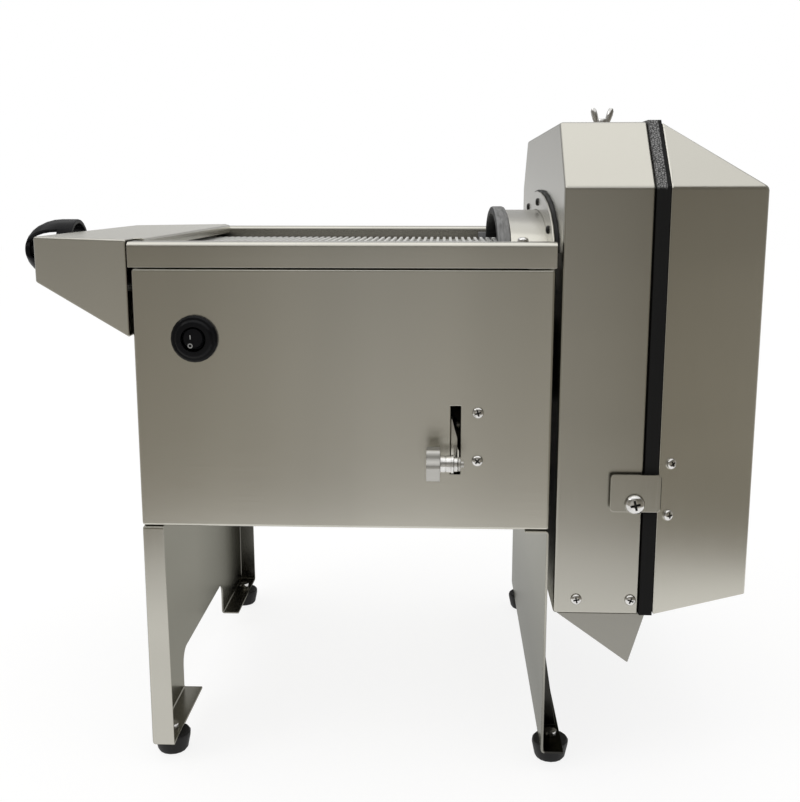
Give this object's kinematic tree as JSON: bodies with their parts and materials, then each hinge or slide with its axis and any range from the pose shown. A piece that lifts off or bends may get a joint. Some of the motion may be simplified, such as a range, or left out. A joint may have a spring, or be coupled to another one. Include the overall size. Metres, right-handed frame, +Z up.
{
  "type": "banana chip cutting machine",
  "caption": "Belt-fed slicer with a turning knife disc in a hooded housing on sheet legs with rubber feet.",
  "frame": {"origin": "middle of the near left rubber foot's base, on the plane that the machine stands on", "axes": "+X from the infeed nose to the cutter, +Y away from the operator's side, +Z up"},
  "size_m": [0.681, 0.5044, 0.5729],
  "materials": {
    "brushed_stainless": "brushed stainless sheet",
    "bright_steel": "bright machined or plated steel",
    "black_rubber": "matt black rubber",
    "black_plastic": "glossy black plastic",
    "grey_casting": "painted grey casting",
    "white_belt": "white food belt",
    "grey_knob": "light grey plastic"
  },
  "bodies": {
    "machine": {"front_panel": "brushed_stainless", "body_frame": "brushed_stainless", "base_plate": "brushed_stainless", "feed_trough": "brushed_stainless", "nose_hood": "brushed_stainless", "conveyor_belt": "white_belt", "drive_block_near": "grey_casting", "drive_block_far": "grey_casting", "takeup_yoke": "grey_casting", "left_stand": "brushed_stainless", "right_stand": "brushed_stainless", "left_near_foot": "black_rubber", "left_far_foot": "black_rubber", "right_near_foot": "black_rubber", "right_far_foot": "black_rubber", "left_near_foot_bolt": "bright_steel", "left_far_foot_bolt": "bright_steel", "right_near_foot_bolt": "bright_steel", "right_far_foot_bolt": "bright_steel", "cutter_housing": "brushed_stainless", "housing_gasket": "black_rubber", "hinge_fixed_leaf": "bright_steel", "inlet_tube": "brushed_stainless", "inlet_packing": "black_rubber", "inlet_flange": "brushed_stainless", "inlet_trim": "black_rubber", "discharge_chute": "brushed_stainless", "bearing_housing": "grey_casting", "inner_bearing": "bright_steel", "outer_bearing": "bright_steel", "drive_belt": "black_rubber", "motor": "grey_casting", "feed_gearmotor": "grey_casting", "gearmotor_bracket": "brushed_stainless", "feed_chain": "bright_steel", "lever_bracket": "brushed_stainless", "switch_body": "black_plastic", "cord_gland": "black_plastic"},
    "handwheel": {"handwheel": "black_plastic", "takeup_screw": "bright_steel"},
    "cover": {"housing_cover": "brushed_stainless", "hinge_cover_leaf": "bright_steel", "latch_plate": "brushed_stainless"},
    "latch_screw": {"latch_screw": "bright_steel"},
    "wing_nut": {"wing_nut": "bright_steel"},
    "cutter": {"cutter_shaft": "bright_steel", "cutter_disc": "bright_steel", "knife_1": "bright_steel", "knife_2": "bright_steel", "disc_nut": "bright_steel", "cutter_pulley": "grey_casting"},
    "motor_rotor": {"motor_shaft": "bright_steel", "motor_pulley": "grey_casting"},
    "drive_roller": {"drive_roller": "bright_steel", "roller_sprocket": "bright_steel"},
    "tail_roller": {"tail_roller": "bright_steel"},
    "feed_pinion": {"gearmotor_sprocket": "bright_steel"},
    "lever": {"feed_lever": "bright_steel"},
    "knob": {"lever_knob": "grey_knob"},
    "rocker": {"switch_rocker": "black_plastic"}
  },
  "joints": [
    {"name": "handwheel_turn", "type": "hinge", "parent": "machine", "child": "handwheel", "pos_m": [-0.11075, 0.1775, 0.4365], "axis": [1, 0, 0], "continuous": true},
    {"name": "cover_hinge", "type": "hinge", "parent": "machine", "child": "cover", "pos_m": [0.41095, 0.4262, 0.218], "axis": [0, 0, 1], "range_deg": [0, 110]},
    {"name": "latch_screw_turn", "type": "hinge", "parent": "cover", "child": "latch_screw", "pos_m": [0.39725, -0.04, 0.2435], "axis": [0, 1, 0], "continuous": true},
    {"name": "wing_nut_turn", "type": "hinge", "parent": "machine", "child": "wing_nut", "pos_m": [0.39225, 0.195, 0.5493], "axis": [0, 0, 1], "continuous": true},
    {"name": "cutter_spin", "type": "hinge", "parent": "machine", "child": "cutter", "pos_m": [0.34125, 0.195, 0.328], "axis": [1, 0, 0], "continuous": true},
    {"name": "motor_spin", "type": "hinge", "parent": "machine", "child": "motor_rotor", "pos_m": [0.18925, 0.292, 0.274], "axis": [1, 0, 0], "continuous": true},
    {"name": "drive_roller_spin", "type": "hinge", "parent": "machine", "child": "drive_roller", "pos_m": [0.29425, 0.1775, 0.4157], "axis": [0, 1, 0], "continuous": true},
    {"name": "tail_roller_spin", "type": "hinge", "parent": "machine", "child": "tail_roller", "pos_m": [-0.05075, 0.1775, 0.4277], "axis": [0, 1, 0], "continuous": true},
    {"name": "feed_pinion_spin", "type": "hinge", "parent": "machine", "child": "feed_pinion", "pos_m": [0.25725, 0.363, 0.336], "axis": [0, 1, 0], "continuous": true},
    {"name": "lever_swing", "type": "hinge", "parent": "machine", "child": "lever", "pos_m": [0.25125, 0.048, 0.29], "axis": [-1, 0, 0], "range_deg": [0, 20]},
    {"name": "lever_knob_turn", "type": "hinge", "parent": "lever", "child": "knob", "pos_m": [0.23925, -0.06, 0.2815], "axis": [1, 0, 0], "continuous": true},
    {"name": "switch_rock", "type": "hinge", "parent": "machine", "child": "rocker", "pos_m": [0.03975, -0.03, 0.3765], "axis": [1, 0, 0], "range_deg": [0, 16]}
  ],
  "couplings": [
    {"joint": "motor_spin", "follows": "cutter_spin", "ratio": 1.8},
    {"joint": "tail_roller_spin", "follows": "drive_roller_spin", "ratio": 2.0619},
    {"joint": "feed_pinion_spin", "follows": "drive_roller_spin", "ratio": 1.4}
  ]
}
